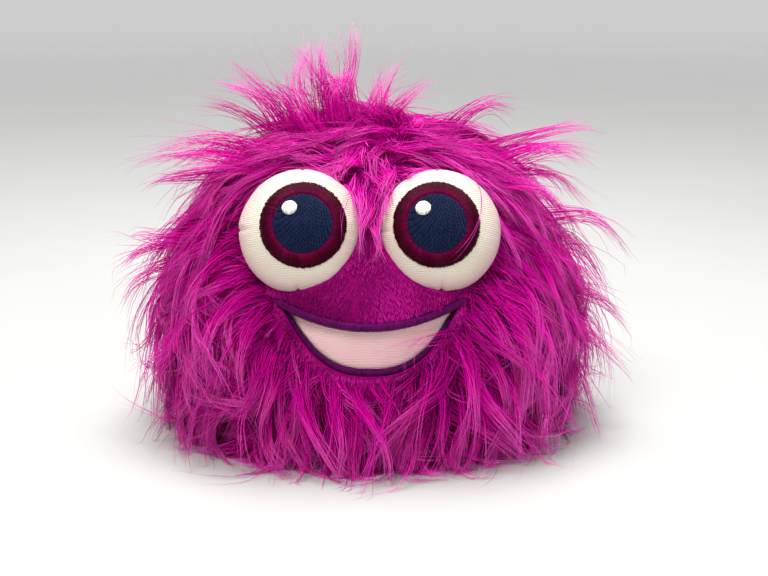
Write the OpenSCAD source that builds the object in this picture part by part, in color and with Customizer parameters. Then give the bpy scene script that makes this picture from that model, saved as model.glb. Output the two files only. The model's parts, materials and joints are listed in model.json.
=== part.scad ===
// Moving mouth hand puppet: a shaggy round head with a glove inside.
// Frame: +Z up, the face looks along -Y, origin on the table under the middle of the ball.
// The fingers lie above the upper mouth board, the thumb under the lower one, and the jaw
// turns on the fold of tape that joins the two boards.

/* [Body] */
// Height of the jaw's fold above the table
hinge_z = 62; // [61:0.5:63]
// Radius of the stuffed skin, centred on the jaw's fold
skin_r = 97; // [96:0.5:98]
// Outer radius of the combed pile
pile_r = 124; // [122:0.5:126]
// Height of the middle of the pile
pile_z = 46; // [45:0.5:48]
// Thickness of the base board and its cloth
base_t = 3; // [2:0.5:4]

/* [Mouth] */
// Upward slope of the mouth from the fold to the lips, in degrees
mouth_tilt = 6; // [5:0.5:7]
// Half of the width of the smile
mouth_half = 42.5; // [41.5:0.1:43]
// Height of the middle of the upper lip
lip_z = 74; // [73:0.5:75]
// Height of the middle of the lower lip
chin_z = 51; // [50:0.5:53]
// How square the lower lip is: 2 is a parabola
chin_bend = 2.6; // [2:0.1:3]
// Height of the corners of the smile
corner_z = 83; // [82:0.5:85]
// How far the jaw opens, in degrees
jaw_travel = 25; // [18:1:25]

/* [Glove] */
// Bore radius of the sleeve that the hand goes into
sleeve_r = 38; // [36:0.5:38]
// Width of the finger pocket, outside
finger_w = 81; // [76:1:82]
// Height of the finger pocket, outside
finger_h = 22.4; // [20:0.2:22.4]
// Width of the thumb pocket, outside
thumb_w = 36; // [34:1:38]
// Height of the thumb pocket, outside
thumb_h = 26; // [24:1:27]

/* [Eyes] */
// Distance of each eye from the middle of the face
eye_x = 33.4; // [33:0.2:35]
// Height of the eyes
eye_z = 117; // [116:0.5:118]
// How far in front of the middle of the ball the eyes sit
eye_y = 80; // [79:0.5:81]
// Upward tilt of the eyes, in degrees
eye_up = 18; // [16:1:20]
// Outward turn of the eyes, in degrees
eye_out = 5; // [3:1:7]
// Radius of the domed front of an eye
dome_r = 41; // [40:0.5:42]
// Radius of the rounded rim of an eye
rim_r = 10; // [9.5:0.5:10.5]
// Outer radius of the embroidered iris
iris_r = 20.5; // [19:0.5:21]
// Radius of the embroidered pupil
pupil_r = 14; // [12:0.5:15]

/* [Hidden] */
$fn = 96;
big = 300;
pile_split = 6;       // where the front pile meets the back pile
touch = 0.1;          // gap between two soft pieces that lie against each other
seam_gap = 0.2;       // gap where a stiffer piece lies beside a soft one
side_gap = 0.4;       // gap between the jaw and the head beside it
side_wall_t = 1;      // thickness of the side walls of the mouth bag
jaw_half = mouth_half + 0.9;
head_gap_half = jaw_half + side_gap + 0.5;
head_half = jaw_half + side_gap + side_wall_t + seam_gap;
dome_turn = 40;       // degrees from an eye's axis to the edge of its domed front
rim_turn = 130;       // degrees from an eye's axis to the end of its rim
dome_apex = 13.5;     // how far an eye's dome stands in front of its middle
eye_gap = 0.4;        // gap between an eye and the head round it
gaze_in = 4;          // degrees that each iris turns towards the nose
gaze_up = 3;
glint_in = 9;         // degrees from the pupil's middle to the catchlight, across and up
glint_up = 10;
glint_r = 3.4;
stitch_t = 0.8;       // thickness of the embroidery
seat_len = 40;        // long enough to reach the skin behind an eye
cover_t = 1.2;        // cloth and backing of an eye's front
dome_centre = dome_apex - dome_r;
rim_x = (dome_r - rim_r) * sin(dome_turn);
rim_y = dome_centre + (dome_r - rim_r) * cos(dome_turn);
eye_back = rim_y + rim_r * cos(rim_turn);
eye_edge = rim_x + rim_r * sin(rim_turn);
eye_rim = rim_x + rim_r;
seat_r = eye_edge - 1.2;
tuck = 3;             // how far the teeth reach up behind the upper lip
teeth_t = 3;
teeth_out = skin_r - 0.5;
chin_in = skin_r + 7; // leaves the lower lip room to sink behind the pile
teeth_in = teeth_out - teeth_t;
inner_r = teeth_in - 0.3;
face_in = skin_r + 0.3;
face_t = 2.7;
face_half = 55;
face_low = 48;
face_high = 110;
lip_cord = 4.6;
chin_cord = 3;
lip_end = mouth_half + 3;
lining_t = 1.2;
board_t = 2.5;
board_half = jaw_half - 1.9;
board_back = 3;
board_low = seam_gap + lining_t + touch;
board_top = board_low + board_t;
pocket_t = 1.2;
finger_len = 60;
thumb_start = 8;
thumb_len = 50;
bead_r = 1.6;
tape_half = 28;
tape_t = 0.9;
rear_lean = 24;       // forward lean of the back of the jaw, in degrees
fold_room = 2;        // room for the tape's fold behind the jaw
crown_floor = 106;
rear_start = 14;      // where the stuffing behind the palm starts
sleeve_t = 1.5;
cuff_r = 43;
cuff_len = 9.7;
label_w = 18;
label_t = 0.4;
label_in = 1.6;       // distance of the label from the end of the cuff
base_r = sqrt(pow(skin_r, 2) - pow(hinge_z - base_t, 2));
// The cuff ends as far behind the middle as the chin's pile reaches in front of it.
chin_top = chin_z - 5;
back_end = sqrt(pow(pile_r, 2) - pow(pile_z - chin_top, 2));
// Each lock of the crown tuft: the foot on the ball, and the tip.
tuft_locks = [
    [[-22, -12, 160], [-46, -8, 205]],
    [[-12, -6, 162], [-30, 0, 201]],
    [[-2, -6, 162], [-9, 2, 203]],
    [[-28, -14, 156], [-66, -12, 186]],
    [[4, -4, 162], [17, 8, 190]]
];
tuft_root = [-12, -8, 150];
tuft_root_r = 26;

// ---- Curves of the smile, in the front view ----
function lip_curve(x) = lip_z + (corner_z - lip_z) * pow(x / mouth_half, 2);
function chin_curve(x) = chin_z + (corner_z - chin_z) * pow(abs(x) / mouth_half, chin_bend);
function across(half) = [for (i = [-12 : 12]) i * half / 12];
function lip_points(half, rise) = [for (x = across(half)) [x, lip_curve(x) + rise]];
function chin_points(half, rise) = [for (x = across(half)) [x, chin_curve(x) + rise]];
function backwards(points) = [for (i = [len(points) - 1 : -1 : 0]) points[i]];

// ---- Shared shapes ----
// Puts a piece made for the viewer's right on either side
module on_side(side) {
    mirror([side < 0 ? 1 : 0, 0, 0]) children();
}

module block(x, y, z) {
    translate([x[0], y[0], z[0]]) cube([x[1] - x[0], y[1] - y[0], z[1] - z[0]]);
}

module skin_ball(grow = 0) {
    translate([0, 0, hinge_z]) sphere(skin_r + grow);
}

module pile_ball(grow = 0) {
    translate([0, 0, pile_z]) sphere(pile_r + grow);
}

// A layer of cloth between two radii about the fold
module skin_layer(inner, outer) {
    difference() {
        skin_ball(outer - skin_r);
        skin_ball(inner - skin_r);
    }
}

// Pushes a front-view outline from y = 0 out through the face
module in_front() {
    rotate([90, 0, 0]) linear_extrude(big / 2) children();
}

// The frame of the mouth: y along the boards, z square to them, origin on the fold
module mouth_frame() {
    translate([0, 0, hinge_z]) rotate([-mouth_tilt, 0, 0]) children();
}

module stadium(w, h) {
    square([w - h, h], center = true);
    for (side = [-1, 1]) translate([side * (w - h) / 2, 0]) circle(d = h);
}

// A pocket's body, open towards the palm
module pocket(w, h, length) {
    rotate([90, 0, 0]) difference() {
        linear_extrude(length) stadium(w, h);
        translate([0, 0, -1])
            linear_extrude(length + 1 - pocket_t) stadium(w - 2 * pocket_t, h - 2 * pocket_t);
    }
}

module pocket_space(w, h, length, grow) {
    rotate([90, 0, 0]) translate([0, 0, -20])
        linear_extrude(length + 20 + grow) stadium(w + 2 * grow, h + 2 * grow);
}

module finger_place() {
    mouth_frame() translate([0, 0, board_top + seam_gap + finger_h / 2]) children();
}

module thumb_place() {
    mouth_frame() translate([0, -thumb_start, -board_top - seam_gap - thumb_h / 2]) children();
}

// Plan of a mouth board or lining: round in front, square at the fold
module board_plan(front_r) {
    intersection() {
        circle(front_r);
        translate([-board_half, -front_r]) square([2 * board_half, front_r - board_back]);
    }
}

// What lies behind the jaw's sloping back
module behind_jaw() {
    translate([0, 0, hinge_z]) rotate([-rear_lean, 0, 0])
        block([-big, big], [-fold_room, big], [-big, fold_room]);
}

// What lies above the table when the jaw is fully open
module above_travel() {
    translate([0, 0, hinge_z]) rotate([-jaw_travel - 1, 0, 0])
        block([-big, big], [-big, big], [base_t + 0.4 - hinge_z, big]);
}

// Room that the chin and the face leave in the front pile, in the front view
module face_window() {
    polygon([
        [-head_gap_half, -1], [head_gap_half, -1],
        [head_gap_half, face_low], [face_half + 1, face_low],
        [face_half + 1, face_high], [-face_half - 1, face_high],
        [-face_half - 1, face_low], [-head_gap_half, face_low]
    ]);
}

// ---- Eyes. Local +Z is the way the eye looks, origin in its middle ----
module eye_place(side) {
    translate([side * eye_x, -eye_y, eye_z]) rotate([90 - eye_up, 0, side * eye_out]) children();
}

// Half section of an eye from the middle of its front round to its back, shrunk by d
function eye_section(d) = concat(
    [for (a = [0 : 4 : dome_turn])
        [(dome_r - d) * sin(a), dome_centre + (dome_r - d) * cos(a)]],
    [for (a = [dome_turn + 9 : 9 : rim_turn])
        [rim_x + (rim_r - d) * sin(a), rim_y + (rim_r - d) * cos(a)]]
);

module eye_space() {
    translate([0, 0, eye_back - eye_gap]) cylinder(r = eye_rim + eye_gap, h = skin_r);
}

module eye_seat_space() {
    translate([0, 0, -seat_len]) cylinder(r = seat_r + eye_gap, h = seat_len + eye_back);
}

module both_eye_spaces() {
    for (side = [-1, 1]) eye_place(side) eye_space();
}

module eye_cover(side) {
    color("ivory") eye_place(side)
        rotate_extrude() polygon(concat(eye_section(0), backwards(eye_section(cover_t))));
}

module eye_filling(side) {
    inside = eye_section(cover_t + touch);
    color("white") eye_place(side)
        rotate_extrude() polygon(concat(inside, [[0, inside[len(inside) - 1][1]]]));
}

// Wedge of stuffing that carries the eye on the round of the head
module eye_backing(side) {
    color("mediumvioletred") difference() {
        eye_place(side) translate([0, 0, eye_back - seat_len])
            cylinder(r = seat_r, h = seat_len - touch);
        skin_ball(seam_gap, $fn = 240);
    }
}

// A patch of embroidery on the dome, between two radii from the eye's axis
module dome_patch(low, high, inner, outer) {
    a0 = asin(inner / dome_r);
    a1 = asin(outer / dome_r);
    steps = 6;
    translate([0, 0, dome_centre]) rotate_extrude() polygon(concat(
        [for (i = [0 : steps]) let (a = a0 + (a1 - a0) * i / steps)
            (dome_r + high) * [sin(a), cos(a)]],
        [for (i = [steps : -1 : 0]) let (a = a0 + (a1 - a0) * i / steps)
            (dome_r + low) * [sin(a), cos(a)]]
    ));
}

// Turns a patch over the dome: up, then towards +X
module on_dome(up, across) {
    translate([0, 0, dome_centre]) rotate([-up, across, 0]) translate([0, 0, -dome_centre])
        children();
}

module iris(side) {
    color("maroon") eye_place(side) on_dome(gaze_up, -side * gaze_in)
        dome_patch(touch, touch + stitch_t, pupil_r + seam_gap, iris_r);
}

module pupil(side) {
    color("midnightblue") eye_place(side) on_dome(gaze_up, -side * gaze_in)
        dome_patch(touch, touch + stitch_t, 0, pupil_r);
}

module catchlight(side) {
    color("white") eye_place(side) on_dome(gaze_up + glint_up, -side * gaze_in - glint_in)
        dome_patch(2 * touch + stitch_t, 2 * (touch + stitch_t), 0, glint_r);
}

// ---- Stuffing of the head ----
module crown_filling() {
    color("whitesmoke") difference() {
        intersection() {
            skin_ball();
            block([-big, big], [-big, big], [crown_floor, big]);
        }
        both_eye_spaces();
    }
}

module cheek_filling(side) {
    color("whitesmoke") on_side(side) difference() {
        intersection() {
            skin_ball();
            block([head_half, big], [-big, big], [base_t + seam_gap, crown_floor - seam_gap]);
        }
        eye_place(1) eye_space();
    }
}

module rear_filling() {
    color("whitesmoke") difference() {
        intersection() {
            skin_ball();
            block(
                [-head_half + touch, head_half - touch], [rear_start, big],
                [base_t + seam_gap, crown_floor - seam_gap]
            );
        }
        sleeve_rod(sleeve_r + sleeve_t + touch, 0, big);
    }
}

module muzzle_filling() {
    color("whitesmoke") difference() {
        intersection() {
            skin_ball(inner_r - skin_r);
            block([-jaw_half, jaw_half], [-big, 0], [0, crown_floor - seam_gap]);
            mouth_frame() block([-big, big], [-big, big], [board_top + seam_gap, big]);
        }
        finger_place() pocket_space(finger_w, finger_h, finger_len, touch);
        both_eye_spaces();
    }
}

// ---- Mouth ----
module mouth_lining(z) {
    color("indigo") mouth_frame() translate([0, 0, z])
        linear_extrude(lining_t) board_plan(inner_r - 0.3);
}

module mouth_board(z) {
    color("lightgray") mouth_frame() translate([0, 0, z])
        linear_extrude(board_t) board_plan(inner_r - 2);
}

// Side wall of the mouth bag, which the jaw slides along
module cheek_lining(side) {
    color("indigo") on_side(side) intersection() {
        skin_ball(inner_r - skin_r);
        block(
            [jaw_half + side_gap, jaw_half + side_gap + side_wall_t],
            [-big, rear_start - 2], [base_t + 1, corner_z + 1]
        );
    }
}

module finger_pocket() {
    color("thistle") finger_place() pocket(finger_w, finger_h, finger_len);
}

module thumb_pocket() {
    color("thistle") thumb_place() pocket(thumb_w, thumb_h, thumb_len);
}

// Webbing behind the upper board, with the fold rolled into a bead on the jaw's axis
module upper_hinge_tape() {
    color("dimgray") mouth_frame() {
        rotate([0, 90, 0]) cylinder(r = bead_r, h = 2 * tape_half, center = true);
        block([-tape_half, tape_half], [-board_back + touch, 0], [seam_gap, seam_gap + tape_t]);
        block(
            [-tape_half, tape_half], [-board_back + touch, -board_back + touch + tape_t],
            [seam_gap, board_top]
        );
    }
}

module lower_hinge_tape() {
    color("dimgray") mouth_frame() block(
        [-tape_half, tape_half], [-board_back + touch, -board_back + touch + tape_t],
        [-board_top, -seam_gap]
    );
}

module face_panel() {
    color("mediumvioletred") difference() {
        intersection() {
            skin_layer(face_in, face_in + face_t);
            in_front() difference() {
                intersection() {
                    translate([0, (face_low + face_high) / 2 + 3]) circle(face_half + 6);
                    translate([-face_half, face_low])
                        square([2 * face_half, face_high - face_low]);
                }
                polygon(concat(
                    [[head_gap_half, 0], [-head_gap_half, 0]],
                    lip_points(head_gap_half, 0)
                ));
            }
        }
        both_eye_spaces();
        for (side = [-1, 1]) eye_place(side) eye_seat_space();
    }
}

module upper_lip_cord() {
    color("indigo") intersection() {
        skin_layer(face_in + face_t + touch, face_in + face_t + touch + lip_cord);
        in_front() polygon(concat(
            lip_points(lip_end, -lip_cord / 2),
            backwards(lip_points(lip_end, lip_cord / 2))
        ));
    }
}

module teeth_panel() {
    color("mistyrose") intersection() {
        skin_layer(teeth_in, teeth_out);
        in_front() polygon(concat(
            chin_points(jaw_half - 0.9, -1),
            backwards(lip_points(jaw_half - 0.9, tuck))
        ));
    }
}

module lower_lip_cord() {
    color("indigo") intersection() {
        skin_layer(teeth_out + touch, teeth_out + touch + chin_cord);
        in_front() intersection() {
            polygon(concat(
                chin_points(jaw_half - 0.4, -chin_cord / 2),
                backwards(chin_points(jaw_half - 0.4, chin_cord / 2))
            ));
            polygon(concat(
                [[jaw_half, 0], [-jaw_half, 0]],
                lip_points(jaw_half, -lip_cord / 2 - 0.6)
            ));
        }
    }
}

// Foam round the thumb pocket; its flat underside meets the base when the jaw is fully open.
module jaw_filling() {
    color("whitesmoke") difference() {
        intersection() {
            skin_ball(inner_r - skin_r);
            block([-jaw_half, jaw_half], [-big, 0], [0, big]);
            mouth_frame() block([-big, big], [-big, 0], [-big, -board_top - seam_gap]);
            above_travel();
        }
        behind_jaw();
        thumb_place() pocket_space(thumb_w, thumb_h, thumb_len, touch);
    }
}

// ---- Pile ----
module chin_fur() {
    half = head_gap_half - touch;
    color("magenta") difference() {
        intersection() {
            pile_ball();
            block([-half, half], [-big, 0], [0, chin_top]);
        }
        intersection() {
            skin_ball(chin_in - skin_r);
            block([-big, big], [-big, big], [base_t + seam_gap, big]);
        }
        cylinder(r = base_r + seam_gap, h = base_t + seam_gap);
    }
}

module front_fur(side) {
    color("magenta") on_side(side) difference() {
        intersection() {
            pile_ball();
            block([0, big], [-big, pile_split], [0, big]);
        }
        skin_ball(seam_gap);
        cylinder(r = base_r + seam_gap, h = base_t + seam_gap);
        in_front() face_window();
        eye_place(1) eye_space();
        eye_place(1) eye_seat_space();
    }
}

module back_fur(side) {
    color("magenta") on_side(side) difference() {
        intersection() {
            pile_ball();
            block([0, big], [pile_split, big], [0, big]);
        }
        skin_ball(seam_gap);
        cylinder(r = base_r + seam_gap, h = base_t + seam_gap);
        sleeve_rod(cuff_r + 1, 0, big);
    }
}

// A cone from one point to another
module lock(foot, tip) {
    d = tip - foot;
    translate(foot) rotate([0, acos(d[2] / norm(d)), atan2(d[1], d[0])])
        cylinder(r1 = 9, r2 = 1.2, h = norm(d));
}

module crown_tuft() {
    color("magenta") difference() {
        union() {
            for (l = tuft_locks) lock(l[0], l[1]);
            translate(tuft_root) sphere(tuft_root_r);
        }
        pile_ball(touch);
    }
}

// ---- Base and glove ----
module base_panel() {
    color("mediumvioletred") cylinder(r = base_r, h = base_t);
}

module sleeve_rod(r, y0, y1) {
    translate([0, y0, hinge_z]) rotate([-90, 0, 0]) cylinder(r = r, h = y1 - y0);
}

module hand_sleeve() {
    color("thistle") difference() {
        sleeve_rod(sleeve_r + sleeve_t, rear_start, back_end);
        sleeve_rod(sleeve_r, 0, big);
    }
}

module sleeve_cuff() {
    color("thistle") difference() {
        sleeve_rod(cuff_r, back_end - cuff_len, back_end);
        sleeve_rod(sleeve_r + sleeve_t + touch, 0, big);
    }
}

// Blank textile label that hangs from the foot of the cuff
module care_label() {
    color("white")
        block(
            [-label_w / 2, label_w / 2], [back_end - label_in, back_end - label_in + label_t],
            [base_t + 1, hinge_z - cuff_r - touch]
        );
}

crown_filling();
cheek_filling(-1);  // left_cheek_filling
cheek_filling(1);  // right_cheek_filling
rear_filling();
muzzle_filling();
mouth_board(board_low);  // upper_mouth_board
mouth_lining(seam_gap);  // upper_mouth_lining
cheek_lining(-1);  // left_cheek_lining
cheek_lining(1);  // right_cheek_lining
finger_pocket();
upper_hinge_tape();
face_panel();
upper_lip_cord();
front_fur(-1);  // front_left_fur
front_fur(1);  // front_right_fur
back_fur(-1);  // back_left_fur
back_fur(1);  // back_right_fur
crown_tuft();
base_panel();
hand_sleeve();
sleeve_cuff();
care_label();
eye_cover(-1);  // left_eye_cover
eye_filling(-1);  // left_eye_filling
eye_backing(-1);  // left_eye_backing
iris(-1);  // left_iris
pupil(-1);  // left_pupil
catchlight(-1);  // left_catchlight
eye_cover(1);  // right_eye_cover
eye_filling(1);  // right_eye_filling
eye_backing(1);  // right_eye_backing
iris(1);  // right_iris
pupil(1);  // right_pupil
catchlight(1);  // right_catchlight
jaw_filling();
mouth_board(-board_top);  // lower_mouth_board
mouth_lining(-seam_gap - lining_t);  // lower_mouth_lining
thumb_pocket();
lower_hinge_tape();
teeth_panel();
lower_lip_cord();
chin_fur();
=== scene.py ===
# Looks of a shaggy hand puppet with a moving mouth: pile, embroidered eyes, lips and cloth.
import json
import math

import bmesh
import bpy
import numpy as np
from mathutils import Matrix, Vector, noise


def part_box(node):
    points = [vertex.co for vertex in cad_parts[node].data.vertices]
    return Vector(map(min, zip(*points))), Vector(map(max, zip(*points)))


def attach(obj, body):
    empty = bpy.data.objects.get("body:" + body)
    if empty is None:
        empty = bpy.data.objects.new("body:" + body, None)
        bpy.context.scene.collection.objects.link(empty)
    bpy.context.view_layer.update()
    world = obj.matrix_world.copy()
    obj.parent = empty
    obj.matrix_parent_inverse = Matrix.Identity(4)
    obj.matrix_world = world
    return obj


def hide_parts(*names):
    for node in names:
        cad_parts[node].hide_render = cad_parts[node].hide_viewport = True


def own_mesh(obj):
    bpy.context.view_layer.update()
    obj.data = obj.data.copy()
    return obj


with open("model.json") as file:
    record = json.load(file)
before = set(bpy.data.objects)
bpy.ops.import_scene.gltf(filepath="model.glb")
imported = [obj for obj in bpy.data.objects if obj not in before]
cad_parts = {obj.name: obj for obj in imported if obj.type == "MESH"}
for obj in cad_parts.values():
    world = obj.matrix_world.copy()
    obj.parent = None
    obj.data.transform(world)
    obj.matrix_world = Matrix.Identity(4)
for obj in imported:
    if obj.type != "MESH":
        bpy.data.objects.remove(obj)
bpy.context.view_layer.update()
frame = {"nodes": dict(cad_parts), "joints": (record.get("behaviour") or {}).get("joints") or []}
noise.seed_set(7)  # or the swirls differ on every run

mm = 0.001
bothSides = ((-1, "left"), (1, "right"))
fold = Vector(frame["joints"][0]["pos_m"])  # the jaw turns here
foldPoint = np.array(fold)
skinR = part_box("crown_filling")[1].z - fold.z
pileR = -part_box("back_left_fur")[0].x
pileMiddle = Vector((0, 0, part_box("back_left_fur")[1].z - pileR))
baseR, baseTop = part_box("base_panel")[1].x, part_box("base_panel")[1].z
sleeveFront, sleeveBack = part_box("hand_sleeve")[0].y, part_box("hand_sleeve")[1].y
sleeveR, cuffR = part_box("hand_sleeve")[1].x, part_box("sleeve_cuff")[1].x
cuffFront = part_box("sleeve_cuff")[0].y

smile = {
    "half": 42.5 * mm,        # half of its width
    "lip": 74 * mm,           # heights of the upper lip's middle, the lower lip's and the corners
    "chin": 51 * mm,
    "corner": 83 * mm,
    "chinBend": 2.6,
}

eye = {
    "across": 33.4 * mm, "forward": 80 * mm, "height": 117 * mm,
    "up": 18, "out": 5,       # degrees that the eyes turn
    "domeR": 41 * mm, "rimR": 10 * mm, "apex": 13.5 * mm,
    "domeTurn": 40, "rimTurn": 130,
    "irisR": 20.5 * mm, "pupilR": 14 * mm,
    "gazeIn": 4, "gazeUp": 3,
    "lap": 4.5 * mm,          # how far the pile hangs over the top of the rim
}
domeTurn, rimTurn = math.radians(eye["domeTurn"]), math.radians(eye["rimTurn"])
rimX = (eye["domeR"] - eye["rimR"]) * math.sin(domeTurn)  # middle of the rim's round
rimZ = eye["apex"] - eye["domeR"] + (eye["domeR"] - eye["rimR"]) * math.cos(domeTurn)
eyeRimR = rimX + eye["rimR"]
eyeBackZ = rimZ + eye["rimR"] * math.cos(rimTurn)


# Small helpers
def unit(v):
    return v / np.maximum(np.linalg.norm(v, axis=-1, keepdims=True), 1e-9)


def outward(at):  # away from the fold
    return unit(at - foldPoint)


def clamp(value):
    return min(max(value, 0), 1)


def linked(name, data):
    piece = bpy.data.objects.new(name, data)
    bpy.context.collection.objects.link(piece)
    return piece


def fromBmesh(name, bm):
    mesh = bpy.data.meshes.new(name)
    bm.to_mesh(mesh)
    bm.free()
    mesh.polygons.foreach_set("use_smooth", [True] * len(mesh.polygons))
    return linked(name, mesh)


def evaluated(piece):
    return bpy.data.meshes.new_from_object(piece.evaluated_get(bpy.context.evaluated_depsgraph_get()))


def withModifiers(piece):
    mesh, old = evaluated(piece), piece.data
    piece.modifiers.clear()
    piece.data = mesh
    bpy.data.meshes.remove(old)
    return piece


def solidified(piece, thickness, offset):
    wall = piece.modifiers.new("wall", "SOLIDIFY")
    wall.thickness, wall.offset = thickness, offset
    return withModifiers(piece)


def arc(x, z, r, start, end, steps):  # part of a section, with turns from straight up
    turns = [start + (end - start) * i / steps for i in range(steps + 1)]
    return [(x + r * math.sin(turn), 0, z + r * math.cos(turn)) for turn in turns]


def spun(name, section, steps=96, axis=(0, 0, 1), centre=(0, 0, 0), closed=False):
    bm = bmesh.new()
    verts = [bm.verts.new(place) for place in section]
    ends = verts[1:] + verts[:1] if closed else verts[1:]
    edges = [bm.edges.new(pair) for pair in zip(verts, ends)]
    bmesh.ops.spin(
        bm, geom=verts + edges, cent=centre, axis=axis, angle=math.tau, steps=steps, use_merge=True,
    )
    bmesh.ops.remove_doubles(bm, verts=bm.verts, dist=0.005 * mm)
    bmesh.ops.recalc_face_normals(bm, faces=bm.faces)
    return fromBmesh(name, bm)


def panel(name, across, tall, place):  # a grid; place turns its -0.5 to 0.5 into points
    bm = bmesh.new()
    bmesh.ops.create_grid(bm, x_segments=across, y_segments=tall, size=0.5)
    for v in bm.verts:
        v.co = Vector(place(v.co.x, v.co.y))
    return fromBmesh(name, bm)


def finish(piece, body, material, slotName, *nodes):
    piece.data.materials.clear()
    piece.data.materials.append(materials[material])
    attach(piece, body)
    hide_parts(*nodes)
    return piece


def joined(name, pieces):
    with bpy.context.temp_override(
        active_object=pieces[0], object=pieces[0],
        selected_objects=pieces, selected_editable_objects=pieces,
    ):
        bpy.ops.object.join()
    pieces[0].name = pieces[0].data.name = name
    return pieces[0]


def paint(mesh, name, values):
    layer = mesh.attributes.get(name) or mesh.attributes.new(name, "FLOAT", "POINT")
    layer.data.foreach_set("value", np.asarray(values, np.float32))


# Curves of the smile, in the front view
def lipCurve(x):
    return smile["lip"] + (smile["corner"] - smile["lip"]) * (x / smile["half"]) ** 2


def chinCurve(x):
    rise = (np.abs(x) / smile["half"]) ** smile["chinBend"]
    return smile["chin"] + (smile["corner"] - smile["chin"]) * rise


def ballPoint(x, z, r):  # a front-view point on the ball of radius r about the fold
    y = -np.sqrt(np.maximum(r ** 2 - x ** 2 - (z - fold.z) ** 2, 0))
    return np.stack([x, y, z + 0 * x], -1)


# Tubes: every hair and thread is a curve with a thin round section
def sectionCurve(sides):
    curve = bpy.data.curves.new("section", "CURVE")
    spline = curve.splines.new("POLY")
    spline.points.add(sides - 1)
    spline.use_cyclic_u = True
    for i, point in enumerate(spline.points):
        turn = -2 * math.pi * i / sides
        point.co = (math.cos(turn), math.sin(turn), 0, 1)
    return linked("section", curve)


def tubes(name, paths, radii, tints, sides=3):
    count, steps = paths.shape[:2]
    section = sectionCurve(sides)
    curve = bpy.data.curves.new(name, "CURVE")
    curve.dimensions = "3D"
    curve.bevel_mode = "OBJECT"
    curve.bevel_object = section
    curve.use_fill_caps = True
    places = np.ones((count, steps, 4), np.float32)
    places[..., :3] = paths
    for place, radius in zip(places, radii.astype(np.float32)):
        spline = curve.splines.new("POLY")
        spline.points.add(steps - 1)
        spline.points.foreach_set("co", place.ravel())
        spline.points.foreach_set("radius", radius)
    source = linked(name, curve)
    mesh = evaluated(source)
    bpy.data.objects.remove(source)
    bpy.data.objects.remove(section)
    # the caps come first, the last tube's first; then each tube's rings from its root
    caps = np.tile(np.repeat([1.0, 0.0], sides), count)
    rings = np.tile(np.repeat(np.linspace(0, 1, steps), sides), count)
    paint(mesh, "along", np.concatenate([caps, rings]))
    paint(mesh, "tint", np.concatenate([
        np.repeat(tints[::-1], 2 * sides), np.repeat(tints, steps * sides),
    ]))
    bm = bmesh.new()
    bm.from_mesh(mesh)
    bmesh.ops.remove_doubles(bm, verts=bm.verts, dist=0.002 * mm)
    bpy.data.meshes.remove(mesh)
    return fromBmesh(name, bm)


# Stage
stageSizes = {"middle": 0.5, "flat": 2.6, "bend": 1.4, "wall": 1.6}
cameraAim = {
    "elevation": 13, "distance": 0.750, "height": 0.080,
    "aside": 7.6 * mm, "lower": 11 * mm, "lens": 65,
}
lamps = {
    "keyLight": {"place": (-0.45, -0.85, 1.3), "size": 0.8, "power": 17, "colour": (1, 0.97, 0.93)},
    "fillLight": {"place": (1.2, -0.9, 0.7), "size": 1.0, "power": 5, "colour": (0.95, 0.97, 1)},
    "topLight": {"place": (0.0, 0.15, 1.35), "size": 0.8, "power": 25, "colour": (1, 1, 1)},
}
lampAim = Vector((0, 0, 0.09))
sky = {"Color": (0.93, 0.94, 0.96, 1), "Strength": 0.62}


def makeStage():
    flat, bend = stageSizes["flat"], stageSizes["bend"]
    section = [(0, 0, 0), (stageSizes["middle"], 0, 0), *arc(flat, bend, bend, math.pi, math.pi / 2, 16)]
    section.append((flat + bend, 0, bend + stageSizes["wall"]))
    floor = spun("floor", section)
    floor.data.materials.append(floorMaterial())


def makeCamera():
    turn = math.radians(cameraAim["elevation"])
    middle = Vector((0, 0, cameraAim["height"]))
    place = middle + cameraAim["distance"] * Vector((0, -math.cos(turn), math.sin(turn)))
    aim = middle + Vector((cameraAim["aside"], 0, -cameraAim["lower"]))
    data = bpy.data.cameras.new("camera")
    data.lens = cameraAim["lens"]
    data.clip_start = 0.01
    camera = linked("camera", data)
    camera.location = place
    camera.rotation_euler = (aim - place).to_track_quat("-Z", "Y").to_euler()
    bpy.context.scene.camera = camera


def makeLight():
    for name, lamp in lamps.items():
        data = bpy.data.lights.new(name, "AREA")
        data.shape = "DISK"
        data.size, data.energy, data.color = lamp["size"], lamp["power"], lamp["colour"]
        light = linked(name, data)
        light.location = lamp["place"]
        light.rotation_euler = (lampAim - Vector(lamp["place"])).to_track_quat("-Z", "Y").to_euler()
    world = bpy.data.worlds.new("world")
    bpy.context.scene.world = world
    world.use_nodes = True
    for label, value in sky.items():
        world.node_tree.nodes["Background"].inputs[label].default_value = value
    bpy.context.scene.view_settings.view_transform = "Standard"


# Shader node helpers and groups
def put(tree, kind, inputs={}, **settings):
    node = tree.nodes.new("ShaderNode" + kind)
    for name, value in settings.items():
        setattr(node, name, value)
    for name, value in inputs.items():
        if isinstance(value, bpy.types.NodeSocket):
            tree.links.new(value, node.inputs[name])
        else:
            node.inputs[name].default_value = value
    return node


def maths(tree, operation, a, b=0.5, c=0.5):
    return put(tree, "Math", {0: a, 1: b, 2: c}, operation=operation).outputs[0]


def ramped(tree, value, low, high, **settings):
    return put(tree, "MapRange", {0: value, 1: low, 2: high}, **settings).outputs[0]


def mixed(tree, factor, a, b, **settings):
    node = put(tree, "Mix", data_type="RGBA", **settings)
    for socket, value in zip((node.inputs[0], node.inputs[6], node.inputs[7]), (factor, a, b)):
        if isinstance(value, bpy.types.NodeSocket):
            tree.links.new(value, socket)
        else:
            socket.default_value = (*value, 1) if isinstance(value, tuple) else value
    return node.outputs[2]


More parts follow.
